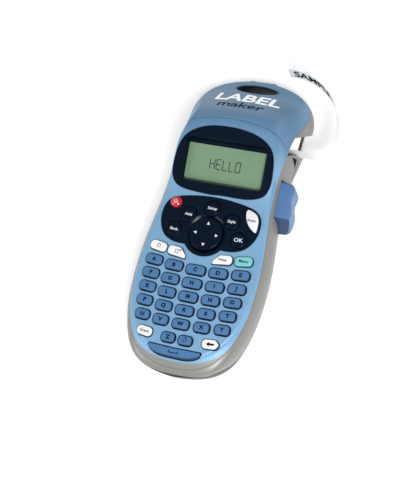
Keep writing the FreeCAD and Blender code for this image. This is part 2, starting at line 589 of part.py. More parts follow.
def build_label(solids):
    """Roll in the cassette and the printed end, which stands on edge and curls round towards the head."""
    roll_y = TAPE_Y + ROLL_R - TAPE_T / 2
    top = TAPE_Z + TAPE_W
    roll = cylinder(ROLL_X, roll_y, TAPE_Z, top, ROLL_R).cut(cylinder(ROLL_X, roll_y, 20, 40, 4.0))
    loop_centre, loop_r, bend_r, end_angle = V(23.1, 84.8, 0), 39.0, 14.0, 93.0
    join = math.asin((loop_centre.y - TAPE_Y - bend_r) / (bend_r - loop_r))
    bend_centre = loop_centre + V(math.cos(join), math.sin(join), 0) * (loop_r - bend_r)

    def at(centre, radius, angle):
        return centre + V(math.cos(angle), math.sin(angle), 0) * radius

    def ribbon(shift):
        start = V(ROLL_X, TAPE_Y + shift, 0)
        turn = V(bend_centre.x, TAPE_Y + shift, 0)
        r1, r2 = bend_r - shift, loop_r - shift
        middle = at(bend_centre, r1, (join - math.pi / 2) / 2)
        joined = at(bend_centre, r1, join)
        end = math.radians(end_angle)
        return [Part.LineSegment(start, turn), Part.Arc(turn, middle, joined),
                Part.Arc(joined, at(loop_centre, r2, (join + end) / 2), at(loop_centre, r2, end))]

    outer, inner = ribbon(-TAPE_T / 2), ribbon(TAPE_T / 2)
    edges = [c.toShape() for c in outer + inner]
    edges.append(Part.LineSegment(outer[0].StartPoint, inner[0].StartPoint).toShape())
    edges.append(Part.LineSegment(outer[2].EndPoint, inner[2].EndPoint).toShape())
    strip = prism(Part.Wire(Part.__sortEdges__(edges)), TAPE_Z, top)
    solids["label_tape"] = roll.fuse(strip)


def build_lever(solids):
    """Thumb lever of the cutter, on the right side."""
    outer = [(44.3, 15.6), (46.7, 17.6), (47.8, 22.5), (47.5, 27.5), (46.2, 32), (45.9, 36), (46.5, 40.2),
             (45.4, 43.8), (42.4, 45.7)]
    curve = Part.BSplineCurve()
    curve.interpolate([V(x, y, 0) for x, y in outer])
    corners = [V(*outer[-1], 0), V(39.4, 45.9, 0), V(36.0, 45.2, 0), V(35.6, 15.0, 0), V(*outer[0], 0)]
    edges = [curve.toShape()] + [Part.LineSegment(a, b).toShape() for a, b in zip(corners, corners[1:])]
    low_z, high_z = LEVER_Z
    lever = prism(Part.Wire(edges), low_z, high_z)
    slope = Part.makePolygon([V(20, y, z) for y, z in ((10, high_z + 5), (24.4, high_z + 5), (21.6, high_z),
                                                      (14.6, low_z - 1), (10, low_z - 1), (10, high_z + 5))])
    lever = lever.cut(Part.Face(slope).extrude(V(50, 0, 0)))
    soft = [e for e in lever.Edges if e.BoundBox.XMax > 41 and e.BoundBox.ZMin > high_z - 0.2]
    for radius in (2.2, 1.4, 0.8):
        try:
            rounded = lever.makeFillet(radius, soft)
            if rounded.isValid():
                lever = rounded
                break
        except Part.OCCError:
            print("lever fillet", radius, "refused")
    lug = cylinder(LEVER_PIVOT.x, LEVER_PIVOT.y, low_z, 33.5, 2.2)
    lug = lug.fuse(box(32.4, 36.2, LEVER_PIVOT.y, LEVER_PIVOT.y + 5.5, low_z, 33.5))
    bore = cylinder(LEVER_PIVOT.x, LEVER_PIVOT.y, 10, 40, PIVOT_PIN_R + PIN_FIT)
    solids["cutter_lever"] = lever.fuse(lug).cut(bore)


KEYS = all_keys()


def main():
    os.makedirs("parts", exist_ok=True)
    solids = {}
    build_case(solids)
    build_fascia(solids)
    build_electronics(solids)
    build_mechanism(solids)
    build_label(solids)
    build_lever(solids)
    build_navigation(solids)
    for key in KEYS:
        solids[key["name"]] = build_key(key)
    for name, shape in solids.items():
        solid_count = len(shape.Solids)
        expected = 4 if name == "batteries" else 1
        if solid_count != expected or not shape.isValid():
            print("CHECK", name, "solids", solid_count, "valid", shape.isValid())
        if solid_count == 1:
            shape = shape.Solids[0]
        shape.exportStep("parts/" + name + ".step")
        bounds = shape.BoundBox
        print(name, "%.1f %.1f %.1f | %.1f %.1f %.1f" % (bounds.XMin, bounds.YMin, bounds.ZMin, bounds.XMax,
                                                       bounds.YMax, bounds.ZMax), "vol %.0f" % shape.Volume)
    print(len(solids), "nodes")


main()
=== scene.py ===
import bmesh
import bpy
import math
from mathutils import Matrix, Vector
from mathutils.bvhtree import BVHTree


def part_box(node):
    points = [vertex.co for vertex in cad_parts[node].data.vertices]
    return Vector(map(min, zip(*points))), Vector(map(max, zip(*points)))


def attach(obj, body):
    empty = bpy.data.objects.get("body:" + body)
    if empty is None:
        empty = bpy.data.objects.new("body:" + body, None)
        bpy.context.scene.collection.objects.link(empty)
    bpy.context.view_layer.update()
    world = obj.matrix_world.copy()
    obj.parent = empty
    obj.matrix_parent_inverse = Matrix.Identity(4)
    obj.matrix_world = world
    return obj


# Looks of the handheld label maker: materials on the CAD nodes, key legends, the display word,
# the printed label and the small pieces that the CAD folder has no room for.
# Metres, in the frame: X across the case, Y along it towards the head, Z up from the table.

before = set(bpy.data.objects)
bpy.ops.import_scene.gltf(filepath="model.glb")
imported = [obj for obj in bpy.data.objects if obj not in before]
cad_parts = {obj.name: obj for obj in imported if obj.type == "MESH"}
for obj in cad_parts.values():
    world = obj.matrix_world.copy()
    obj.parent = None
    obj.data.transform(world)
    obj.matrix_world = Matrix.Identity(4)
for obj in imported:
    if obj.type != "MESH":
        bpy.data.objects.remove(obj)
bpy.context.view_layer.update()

KEY_Z = 0.044                     # keypad plane
TILT = math.radians(16.8)         # display slope
FOLD = Vector((0, 0.028, KEY_Z))  # where the display slope starts
LCD_LIFT = -0.0054                # face of the display glass below the display slope
LCD_MIDDLE = 0.0193               # middle of the display along the slope, from the fold

SHEET = 0.00006                   # thickness of printed legends
PRINT_LIFT = 0.00004              # face of a legend above the surface it is printed on
PRINT_STEP = 0.0012               # longest edge of a legend, so that it follows a curved key
CLEAR = 0.2                       # start of the rays that lay sheets on a surface

LETTERS = "abcdefghijklmnopqrstuvwxyz"
KEY_ROW_BEND = 2.69               # curve of the letter rows: y rises by this times x squared


# ---------------------------------------------------------------- node helpers
def shader(name):
    material = bpy.data.materials.new(name)
    material.use_nodes = True
    return material, material.node_tree, material.node_tree.nodes["Principled BSDF"]


def base_coat(material):
    """Node tree and shader of a finished material, with the socket that colours it."""
    tree = material.node_tree
    bsdf = tree.nodes["Principled BSDF"]
    return tree, bsdf, bsdf.inputs["Base Color"].links[0].from_socket


def object_coordinates(tree):
    return tree.nodes.new("ShaderNodeTexCoord").outputs["Object"]


def axes(tree, kind):
    """X, Y and Z sockets of the Object or Normal coordinates."""
    split = tree.nodes.new("ShaderNodeSeparateXYZ")
    coordinates = tree.nodes.new("ShaderNodeTexCoord")
    tree.links.new(coordinates.outputs[kind], split.inputs["Vector"])
    return split.outputs


def height_on_slope(tree, slope):
    """Height plus slope times Y: constant along a line that climbs towards the tail."""
    place = axes(tree, "Object")
    climb = tree.nodes.new("ShaderNodeMath")
    climb.operation = "MULTIPLY_ADD"
    tree.links.new(place["Y"], climb.inputs[0])
    climb.inputs[1].default_value = slope
    tree.links.new(place["Z"], climb.inputs[2])
    return climb.outputs["Value"]


def noise(tree, scale, detail=3.0, roughness=0.55):
    node = tree.nodes.new("ShaderNodeTexNoise")
    node.inputs["Scale"].default_value = scale
    node.inputs["Detail"].default_value = detail
    node.inputs["Roughness"].default_value = roughness
    tree.links.new(object_coordinates(tree), node.inputs["Vector"])
    return node.outputs["Fac"]


def remap(tree, value, low, high, out_low=0, out_high=1):
    node = tree.nodes.new("ShaderNodeMapRange")
    for socket, number in (("From Min", low), ("From Max", high),
                           ("To Min", out_low), ("To Max", out_high)):
        node.inputs[socket].default_value = number
    tree.links.new(value, node.inputs["Value"])
    return node.outputs["Result"]


def blend_colours(tree, factor, first, second):
    """First colour where the factor is 0, second where it is 1."""
    node = tree.nodes.new("ShaderNodeMix")
    node.data_type = "RGBA"
    tree.links.new(factor, node.inputs["Factor"])
    for socket, colour in ((node.inputs[6], first), (node.inputs[7], second)):
        if isinstance(colour, tuple):
            socket.default_value = (*colour, 1)
        else:
            tree.links.new(colour, socket)
    return node.outputs[2]


def shade(colour, factor):
    return tuple(min(c * factor, 1.0) for c in colour)


def glow(material, strength):
    """Lets a white surface shine a little, so that it stays white in the soft light."""
    bsdf = material.node_tree.nodes["Principled BSDF"]
    bsdf.inputs["Emission Color"].default_value = (1, 1, 1, 1)
    bsdf.inputs["Emission Strength"].default_value = strength
    return material


# ---------------------------------------------------------------- materials
SILVER_COLOUR = (0.27, 0.265, 0.25)
# Darker blue of the head: painted shade of the slope of the cassette door.
HEAD_SHADE_BLUE = (0.125, 0.265, 0.43)
# Near black of the finger hole wall: painted shade.
HOLE_SHADE_BLACK = (0.004, 0.006, 0.010)
# Dark underside of the back shell: painted shade.
UNDERSIDE_SHADE = (0.02, 0.02, 0.022)


def moulded(name, colour, roughness=0.35, vary=0.05, grain=0.02, grain_scale=2600.0,
            metallic=0.0, coat=0.0, specular=0.5, mottle=60.0):
    """Moulded or painted surface: slow colour change, uneven gloss and a fine grain (mm)."""
    material, tree, bsdf = shader(name)
    slow = remap(tree, noise(tree, mottle), 0.3, 0.7)
    mixed = blend_colours(tree, slow, shade(colour, 1 - vary), shade(colour, 1 + vary))
    tree.links.new(mixed, bsdf.inputs["Base Color"])
    gloss = noise(tree, 240.0, 4.0)
    tree.links.new(remap(tree, gloss, 0.25, 0.75, roughness - 0.05, roughness + 0.07),
                   bsdf.inputs["Roughness"])
    bump = tree.nodes.new("ShaderNodeBump")
    bump.inputs["Strength"].default_value = 1.0
    bump.inputs["Distance"].default_value = grain * 0.001
    tree.links.new(noise(tree, grain_scale, 2.0), bump.inputs["Height"])
    tree.links.new(bump.outputs["Normal"], bsdf.inputs["Normal"])
    bsdf.inputs["Metallic"].default_value = metallic
    bsdf.inputs["Coat Weight"].default_value = coat
    bsdf.inputs["Coat Roughness"].default_value = 0.08
    bsdf.inputs["Specular IOR Level"].default_value = specular
    return material


def flake_paint(name, colour, flake):
    """Metallic paint: fine flakes that catch the light."""
    material = moulded(name, colour, roughness=0.44, vary=0.04, grain=0.006, grain_scale=4200.0,
                       metallic=0.15, specular=0.35)
    tree, bsdf, base = base_coat(material)
    cells = tree.nodes.new("ShaderNodeTexVoronoi")
    cells.inputs["Scale"].default_value = 5200.0
    tree.links.new(object_coordinates(tree), cells.inputs["Vector"])
    sparkle = remap(tree, cells.outputs["Color"], 0.55, 1.0, 0.0, 0.5)
    tree.links.new(blend_colours(tree, sparkle, base, flake), bsdf.inputs["Base Color"])
    return material


def paint_hole_shade(material):
    """Paints the wall of the finger hole nearly black, as the shade deep inside the hole."""
    tree, bsdf, base = base_coat(material)
    oval = tree.nodes.new("ShaderNodeMapping")
    oval.vector_type = "TEXTURE"
    oval.inputs["Location"].default_value = (0, 0.112, 0)
    oval.inputs["Scale"].default_value = (0.0133, 0.0038, 1)
    tree.links.new(object_coordinates(tree), oval.inputs["Vector"])
    flat = tree.nodes.new("ShaderNodeVectorMath")
    flat.operation = "MULTIPLY"
    flat.inputs[1].default_value = (1, 1, 0)
    tree.links.new(oval.outputs["Vector"], flat.inputs[0])
    reach = tree.nodes.new("ShaderNodeVectorMath")
    reach.operation = "LENGTH"
    tree.links.new(flat.outputs["Vector"], reach.inputs[0])
    outside = remap(tree, reach.outputs["Value"], 1.03, 1.22)
    tree.links.new(blend_colours(tree, outside, HOLE_SHADE_BLACK, base), bsdf.inputs["Base Color"])
    return material


def shell_paint():
    """Front shell: blue painted darker towards the head as shade, like the door, silver on the
    rim of the tail.
    """
    material = flake_paint("blue_paint", (0.19, 0.385, 0.60), (0.50, 0.72, 0.90))
    tree, bsdf, base = base_coat(material)
    head_shade = remap(tree, axes(tree, "Object")["Y"], 0.050, 0.070)
    blue = blend_colours(tree, head_shade, base, HEAD_SHADE_BLUE)
    above_rim = remap(tree, height_on_slope(tree, 0.086), 0.0332, 0.0334)
    tree.links.new(blend_colours(tree, above_rim, SILVER_COLOUR, blue), bsdf.inputs["Base Color"])
    return material


def shell_with_underside_shade():
    """Back shell: warm silver paint, with the underside painted dark as shade, rising at the
    tail.
    """
    material = moulded("silver_shell", SILVER_COLOUR, roughness=0.38, vary=0.03, grain=0.008,
                       grain_scale=3600.0, metallic=0.2, specular=0.3)
    tree, bsdf, base = base_coat(material)
    above = remap(tree, height_on_slope(tree, 0.70), -0.0262, -0.0256)
    tree.links.new(blend_colours(tree, above, UNDERSIDE_SHADE, base), bsdf.inputs["Base Color"])
    return material


def key_with_shaded_walls(name, top, wall, roughness=0.3, low=0.45, high=0.9, coat=0.15):
    """Key cap: light face and walls painted darker as shade, told apart by how far the surface
    faces up.
    """
    material = moulded(name, top, roughness=roughness, grain=0.01, grain_scale=3000.0, coat=coat,
                       mottle=150.0)
    tree, bsdf, base = base_coat(material)
    facing_up = remap(tree, axes(tree, "Normal")["Z"], low, high)
    tree.links.new(blend_colours(tree, facing_up, wall, base), bsdf.inputs["Base Color"])
    return material


def lever_plastic():
    """Blue lever; the slanted end that faces the tail is painted darker as shade."""
    material = moulded("lever_blue", (0.105, 0.215, 0.43), roughness=0.38, grain=0.012,
                       grain_scale=3000.0, specular=0.4)
    tree, bsdf, base = base_coat(material)
    shaded_end = remap(tree, axes(tree, "Normal")["Y"], -0.80, -0.30)
    tree.links.new(blend_colours(tree, shaded_end, (0.045, 0.085, 0.17), base),
                   bsdf.inputs["Base Color"])
    return material


def brushed(name, colour, roughness, stretch=(1, 1, 30)):
    """Metal with fine drawn lines."""
    material, tree, bsdf = shader(name)
    mapping = tree.nodes.new("ShaderNodeMapping")
    mapping.inputs["Scale"].default_value = stretch
    tree.links.new(object_coordinates(tree), mapping.inputs["Vector"])
    lines = tree.nodes.new("ShaderNodeTexNoise")
    lines.inputs["Scale"].default_value = 260.0
    tree.links.new(mapping.outputs["Vector"], lines.inputs["Vector"])
    tint = blend_colours(tree, lines.outputs["Fac"], shade(colour, 0.85), shade(colour, 1.1))
    tree.links.new(tint, bsdf.inputs["Base Color"])
    tree.links.new(remap(tree, lines.outputs["Fac"], 0.2, 0.8, roughness, roughness + 0.15),
                   bsdf.inputs["Roughness"])
    bsdf.inputs["Metallic"].default_value = 1.0
    return material


def wrapped_cell():
    """Printed battery wrap: dark sleeve with a copper band."""
    material, tree, bsdf = shader("cell_wrap")
    band = remap(tree, axes(tree, "Object")["Y"], -0.0205, -0.0200)
    colour = blend_colours(tree, band, (0.015, 0.016, 0.02), (0.55, 0.24, 0.07))
    tree.links.new(colour, bsdf.inputs["Base Color"])
    tree.links.new(remap(tree, noise(tree, 400.0), 0.3, 0.7, 0.25, 0.4), bsdf.inputs["Roughness"])
    bsdf.inputs["Metallic"].default_value = 0.6
    return material


def board_lacquer():
    """Solder mask with copper tracks showing through."""
    material, tree, bsdf = shader("board_lacquer")
    tracks = tree.nodes.new("ShaderNodeTexBrick")
    tracks.inputs["Scale"].default_value = 170.0
    tracks.inputs["Mortar Size"].default_value = 0.06
    tracks.inputs["Color1"].default_value = (0.012, 0.10, 0.045, 1)
    tracks.inputs["Color2"].default_value = (0.014, 0.12, 0.05, 1)
    tracks.inputs["Mortar"].default_value = (0.03, 0.20, 0.09, 1)
    tree.links.new(object_coordinates(tree), tracks.inputs["Vector"])
    tree.links.new(tracks.outputs["Color"], bsdf.inputs["Base Color"])
    tree.links.new(remap(tree, noise(tree, 300.0), 0.3, 0.7, 0.25, 0.4), bsdf.inputs["Roughness"])
    return material


BLUE_PAINT = shell_paint()
# Cassette door: darker head blue as painted shade, and the finger hole painted near black as
# shade.
HEAD_SHADED_PAINT = paint_hole_shade(flake_paint("head_shaded_paint", HEAD_SHADE_BLUE, (0.36, 0.52, 0.70)))
SILVER = paint_hole_shade(shell_with_underside_shade())
FASCIA = moulded("fascia_gloss", (0.0015, 0.0065, 0.017), roughness=0.22, vary=0.08, grain=0.002,
                 grain_scale=3000.0, specular=0.14)
# Key walls darkened as painted shade of the gaps around the keys.
KEY_BLUE = key_with_shaded_walls("key_blue", (0.070, 0.185, 0.37), (0.002, 0.010, 0.040), low=0.94, high=0.993,
                  coat=0.0)
KEY_WHITE = key_with_shaded_walls("key_white", (0.86, 0.87, 0.88), (0.06, 0.09, 0.16), low=0.6, high=0.93)
KEY_TEAL = key_with_shaded_walls("key_teal", (0.20, 0.60, 0.60), (0.03, 0.13, 0.20), roughness=0.28)
KEY_DARK = moulded("key_dark", (0.0010, 0.0058, 0.018), roughness=0.26, vary=0.06, grain=0.004,
                   grain_scale=3000.0, specular=0.14)
KEY_RED = moulded("key_red", (0.60, 0.012, 0.035), roughness=0.16, vary=0.04, grain=0.002,
                  grain_scale=3000.0, coat=0.8)
LEVER_BLUE = lever_plastic()
# Battery cover coloured near black: painted shade of the underside at the tail.
COVER_SHADE_DARK = moulded("cover_shade_dark", (0.035, 0.035, 0.038), roughness=0.55, vary=0.08, grain=0.04,
                     grain_scale=1800.0)
RUBBER = moulded("mat_rubber", (0.008, 0.014, 0.032), roughness=0.7, vary=0.1, grain=0.03,
                 grain_scale=2000.0)
LABEL_WHITE = moulded("label_white", (0.86, 0.86, 0.85), roughness=0.38, vary=0.015, grain=0.004,
                      grain_scale=2500.0)
CASSETTE = moulded("cassette_grey", (0.55, 0.57, 0.60), vary=0.04, grain=0.015,
                   grain_scale=2200.0)
GEAR_IVORY = moulded("gear_ivory", (0.66, 0.63, 0.52), roughness=0.45, grain_scale=2200.0)
PLATEN = moulded("platen_rubber", (0.02, 0.02, 0.022), roughness=0.75, vary=0.1, grain=0.04,
                 grain_scale=2500.0)
STEEL = brushed("drawn_steel", (0.56, 0.56, 0.57), 0.25)
ALUMINIUM = brushed("machined_aluminium", (0.60, 0.61, 0.63), 0.3, stretch=(30, 1, 1))
BOARD = board_lacquer()
CELLS = wrapped_cell()
LCD_GREEN = moulded("display_green", (0.185, 0.30, 0.18), roughness=0.32, vary=0.03, grain=0.002,
                    grain_scale=5000.0, coat=0.1)
INK_NAVY = moulded("ink_navy", (0.006, 0.016, 0.045), roughness=0.6, vary=0.1, grain=0.002,
                   specular=0.08)
# Black of the print, also the dark sheets of painted shade at the cutter slit.
PRINT_AND_SHADE_BLACK = moulded("print_and_shade_black", (0.006, 0.006, 0.008), roughness=0.6, vary=0.1, grain=0.002,
                    specular=0.06)
# Exit plate and head word give off a little light of their own: painted light, not a lamp.
GUIDE_GLOWING_WHITE = glow(moulded("guide_glowing_white", (0.90, 0.90, 0.90), roughness=0.5, vary=0.02,
                           grain=0.004), 0.5)
INK_WHITE = moulded("ink_white", (0.82, 0.84, 0.86), roughness=0.45, vary=0.02, grain=0.002)
WORD_GLOWING_WHITE = glow(moulded("word_glowing_white", (0.88, 0.90, 0.92), roughness=0.5, vary=0.02,
                          grain=0.002), 0.35)
INK_BROWN = moulded("ink_brown", (0.10, 0.035, 0.03), roughness=0.5, vary=0.08, grain=0.002,
                    specular=0.1)
SEGMENTS = moulded("segment_dark", (0.018, 0.045, 0.040), roughness=0.5, grain=0.001)

NODE_PAINTS = {
    "front_shell": BLUE_PAINT, "cassette_door": HEAD_SHADED_PAINT, "back_shell": SILVER,
    "battery_cover": COVER_SHADE_DARK, "fascia": FASCIA, "lcd_module": LCD_GREEN,
    "keypad_mat": RUBBER, "circuit_board": BOARD, "tape_cassette": CASSETTE,
    "label_tape": LABEL_WHITE, "print_head": ALUMINIUM, "platen_roller": PLATEN,
    "drive_gear": GEAR_IVORY, "feed_motor": STEEL, "cutter_lever": LEVER_BLUE,
    "cutter_blade": STEEL, "batteries": CELLS, "nav_pivot": GEAR_IVORY,
    "nav_pad": KEY_DARK, "key_power": KEY_RED, "key_menu": KEY_TEAL,
    **{"key_" + name: KEY_DARK for name in ("insert", "settings", "format", "cancel", "ok")},
    **{"key_" + name: KEY_WHITE
       for name in ("caps", "numbers", "preview", "clear", "backspace", "print")},
}


def paint_nodes():
    """One material per CAD node; the letter keys and the space bar are blue."""
    for name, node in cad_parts.items():
        node.data.materials.clear()
        node.data.materials.append(NODE_PAINTS.get(name, KEY_BLUE))


# ---------------------------------------------------------------- mesh helpers
def add_object(name, data):
    piece = bpy.data.objects.new(name, data)
    bpy.context.scene.collection.objects.link(piece)
    return piece


def add_mesh(name, bm, material, body):
    mesh = bpy.data.meshes.new(name)
    bm.to_mesh(mesh)
    bm.free()
    piece = add_object(name, mesh)
    mesh.materials.append(material)
    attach(piece, body)


def text_mesh(words, size, bold=0.0, wide=1.0):
    """Flat triangulated lettering centred on the origin."""
    curve = bpy.data.curves.new("lettering", "FONT")
    curve.body = words
    curve.size = size
    curve.offset = bold
    curve.align_x = "CENTER"
    curve.align_y = "CENTER"
    curve.resolution_u = 3
    holder = add_object("lettering", curve)
    bpy.context.view_layer.update()
    evaluated = holder.evaluated_get(bpy.context.evaluated_depsgraph_get())
    mesh = bpy.data.meshes.new_from_object(evaluated)
    bm = bmesh.new()
    bm.from_mesh(mesh)
    bpy.data.objects.remove(holder)
    bpy.data.curves.remove(curve)
    bpy.data.meshes.remove(mesh)
    bmesh.ops.remove_doubles(bm, verts=bm.verts, dist=1e-6)
    bmesh.ops.triangulate(bm, faces=bm.faces)
    bmesh.ops.transform(bm, matrix=Matrix.Diagonal((wide, 1, 1, 1)), verts=bm.verts)
    return bm


def flat_polygon(points):
    bm = bmesh.new()
    bm.faces.new([bm.verts.new((x, y, 0)) for x, y in points])
    return bm


def join(meshes):
    """One bmesh from several."""
    whole = bmesh.new()
    for bm in meshes:
        mesh = bpy.data.meshes.new("part")
        bm.to_mesh(mesh)
        bm.free()
        whole.from_mesh(mesh)
        bpy.data.meshes.remove(mesh)
    return whole


def spin(bm, angle):
    """Turns a flat shape about Z."""
    bmesh.ops.rotate(bm, cent=(0, 0, 0), matrix=Matrix.Rotation(angle, 3, "Z"), verts=bm.verts)


def refine(bm, longest):
    """Splits long edges so that a flat sheet can follow a curved surface."""
    for _ in range(5):
        long_edges = [e for e in bm.edges if e.calc_length() > longest]
        if not long_edges:
            break
        bmesh.ops.subdivide_edges(bm, edges=long_edges, cuts=1)
        bmesh.ops.triangulate(bm, faces=bm.faces)


def surface_tree(node):
    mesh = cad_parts[node].data
    return BVHTree.FromPolygons([v.co for v in mesh.vertices],
                                [p.vertices for p in mesh.polygons])


def drape(bm, node):
    """Lays a flat sheet on a node from above."""
    refine(bm, PRINT_STEP)
    tree = surface_tree(node)
    for vertex in bm.verts:
        start = Vector((vertex.co.x, vertex.co.y, CLEAR))
        hit = tree.ray_cast(start, Vector((0, 0, -1)))[0]
        if hit:
            vertex.co.z = hit.z + PRINT_LIFT


def thicken(bm, out=Vector((0, 0, 1))):
    """Turns an open sheet that faces out into a thin closed layer below its face."""
    seen, doubled = set(), []
    for face in bm.faces:
        corners = frozenset(face.verts)
        if corners in seen or face.calc_area() < 1e-13:
            doubled.append(face)
        seen.add(corners)
    bmesh.ops.delete(bm, geom=doubled, context="FACES")
    bmesh.ops.recalc_face_normals(bm, faces=bm.faces)
    up = sum((f.normal * f.calc_area() for f in bm.faces), Vector())
    if up.dot(out) < 0:
        bmesh.ops.reverse_faces(bm, faces=bm.faces)
    tops = bm.faces[:]
    rims = [(loop.vert, loop.link_loop_next.vert) for face in tops for loop in face.loops
            if loop.edge.is_boundary]
    under = {v: bm.verts.new(v.co - out * SHEET) for v in bm.verts[:]}
    for face in tops:
        bm.faces.new([under[v] for v in reversed(face.verts)])
    for start, end in rims:
        bm.faces.new([end, start, under[start], under[end]])


def legend(name, bm, node, material, place=None, turn=0.0):
    """Printed mark on the top of a key or panel, centred on the node unless placed at (x, y)."""
    low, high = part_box(node)
    x, y = place or ((low + high) / 2).xy
    move = Matrix.Translation((x, y, 0)) @ Matrix.Rotation(turn, 4, "Z")
    bmesh.ops.transform(bm, matrix=move, verts=bm.verts)
    drape(bm, node)
    thicken(bm)
    add_mesh(name, bm, material, node)


def side_shade_sheet(name, points):
    """Dark sheet of painted shade laid on the right side of the back shell, from (y, z) corners.
    """
    bm = bmesh.new()
    bm.faces.new([bm.verts.new((0, y, z)) for y, z in points])
    bmesh.ops.triangulate(bm, faces=bm.faces)
    refine(bm, 0.0010)
    tree = surface_tree("back_shell")
    for vertex in bm.verts:
        start = Vector((CLEAR, vertex.co.y, vertex.co.z))
        hit = tree.ray_cast(start, Vector((-1, 0, 0)))[0]
        vertex.co.x = hit.x + 0.00005
    thicken(bm, Vector((1, 0, 0)))
    add_mesh(name, bm, PRINT_AND_SHADE_BLACK, "case")


def key_turn(node):
    """Turn of a key's legend: the letter rows are curved, so the outer keys lean a little."""
    low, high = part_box(node)
    return math.atan(2 * KEY_ROW_BEND * (low.x + high.x) / 2) * 0.5


# ---------------------------------------------------------------- legends
def square_loop(half, line):
    """Square outline as four corner pieces."""
    bars = []
    for turn in range(4):
        bm = flat_polygon([(-half, half - line), (half - line, half - line), (half - line, half),
                           (-half, half)])
        spin(bm, turn * math.pi / 2)
        bars.append(bm)
    return join(bars)


def square_dot(half, x, y):
    return flat_polygon([(x - half, y - half), (x + half, y - half), (x + half, y + half),
                         (x - half, y + half)])


def arch(radius, line, base):
    """Shackle of a padlock mark."""
    steps = 8
    angles = [math.pi * i / steps for i in range(steps + 1)]
    inner_radius = radius - line
    outer = [(radius * math.cos(a), base + radius * math.sin(a)) for a in angles]
    inner = [(inner_radius * math.cos(a), base + inner_radius * math.sin(a))
             for a in reversed(angles)]
    return flat_polygon(outer + inner)


def arrow_left(length, height):
    half, bar_half, head_half = length / 2, height * 0.28, height / 1.5
    neck = height - half
    return flat_polygon([(-half, 0), (neck, -head_half), (neck, -bar_half), (half, -bar_half),
                         (half, bar_half), (neck, bar_half), (neck, head_half)])


def open_box(width, height, line):
    """The usual mark of a space bar."""
    w, h = width / 4, height / 2
    return flat_polygon([(-w, h), (-w, -h), (w, -h), (w, h), (w - line, h), (w - line, -h + line),
                         (-w + line, -h + line), (-w + line, h)])


def key_legends():
    for letter in LETTERS:
        node = "key_" + letter
        bm = text_mesh(letter.upper(), 0.0034, bold=0.00020, wide=1.05)
        legend("legend_" + letter, bm, node, INK_NAVY, turn=key_turn(node))
    small, large = 0.0025, 0.0036
    words = {
        "key_insert": ("Add", small, INK_WHITE, "dark_keys"),
        "key_settings": ("Setup", small, INK_WHITE, "dark_keys"),
        "key_format": ("Style", small, INK_WHITE, "dark_keys"),
        "key_cancel": ("Back", small, INK_WHITE, "dark_keys"),
        "key_ok": ("OK", large, INK_WHITE, "dark_keys"),
        "key_print": ("Print", small, INK_BROWN, "white_keys"),
        "key_clear": ("Erase", small, INK_BROWN, "white_keys"),
        "key_preview": ("View", small, INK_BROWN, "white_keys"),
        "key_menu": ("Menu", small, INK_NAVY, "teal_key"),
    }
    for node, (word, size, ink, slot) in words.items():
        bm = text_mesh(word, size, bold=0.00006, wide=1.1)
        legend("legend_" + node[4:], bm, node, ink, turn=key_turn(node))
    icons = {
        "key_symbol": ([square_loop(0.0011, 0.0003), square_dot(0.0004, 0, 0.0019)],
                       INK_NAVY, "blue_keys"),
        "key_caps": ([square_loop(0.0011, 0.0003), arch(0.0007, 0.00025, 0.0011)],
                     INK_BROWN, "white_keys"),
        "key_numbers": ([square_loop(0.0012, 0.0003), square_dot(0.0005, 0.0020, 0.0013)],
                        INK_BROWN, "white_keys"),
        "key_backspace": ([arrow_left(0.0052, 0.0022)], PRINT_AND_SHADE_BLACK, "white_keys"),
        "key_space": ([open_box(0.0125, 0.0016, 0.0006)], INK_NAVY, "blue_keys"),
    }
    for node, (shapes, ink, slot) in icons.items():
        legend("legend_" + node[4:], join(shapes), node, ink, turn=key_turn(node))


def pad_arrows():
    """Four small arrowheads on the navigation pad."""
    for index, name in enumerate(("up", "left", "down", "right")):
        bm = flat_polygon([(-0.0010, 0.0062), (0.0010, 0.0062), (0, 0.0082)])
        spin(bm, index * math.pi / 2)
        legend("pad_arrow_" + name, bm, "nav_pad", INK_WHITE)


def power_mark():
    """Ring, open at the top, with a short upright bar."""
    steps, gap = 18, 0.6
    angles = [gap + (2 * math.pi - 2 * gap) * i / steps for i in range(steps + 1)]
    bm = bmesh.new()
    inner, outer = [[bm.verts.new((r * math.sin(a), r * math.cos(a), 0)) for a in angles]
                    for r in (0.00085, 0.00125)]
    for i in range(steps):
        bm.faces.new([inner[i], inner[i + 1], outer[i + 1], outer[i]])
    upright = flat_polygon([(-0.0002, 0.0003), (0.0002, 0.0003), (0.0002, 0.0015),
                            (-0.0002, 0.0015)])
    legend("power_mark", join([bm, upright]), "key_power", INK_WHITE)


def head_lettering():
    """Plain wide word and a smaller one below it, on the slope of the cassette door."""
    big = text_mesh("LABEL", 0.0128, bold=0.0003, wide=1.30)
    legend("head_word", big, "cassette_door", WORD_GLOWING_WHITE, place=(-0.0006, 0.0990))
    small = text_mesh("maker", 0.0090, bold=0.00018, wide=1.36)
    legend("head_small_word", small, "cassette_door", INK_NAVY,
           place=(-0.0012, 0.0895))


# ---------------------------------------------------------------- display
# Strokes (x, y, x, y) of each letter on a cell that is 1 wide and 2 high.
SEGMENT_STROKES = {
    "H": [(0, 0, 0, 1), (0, 1, 0, 2), (1, 0, 1, 1), (1, 1, 1, 2), (0, 1, 1, 1)],
    "E": [(0, 0, 0, 1), (0, 1, 0, 2), (0, 0, 1, 0), (0, 1, 1, 1), (0, 2, 1, 2)],
    "L": [(0, 0, 0, 1), (0, 1, 0, 2), (0, 0, 1, 0)],
    "O": [(0, 0, 0, 1), (0, 1, 0, 2), (1, 0, 1, 1), (1, 1, 1, 2), (0, 0, 1, 0), (0, 2, 1, 2)],
}


def display_matrix(x, s, n):
    """Place on the display slope: x across, s up the slope from the fold, n out of it."""
    slope = Matrix.Rotation(TILT, 4, "X")
    return Matrix.Translation(FOLD + slope @ Vector((x, s, n))) @ slope


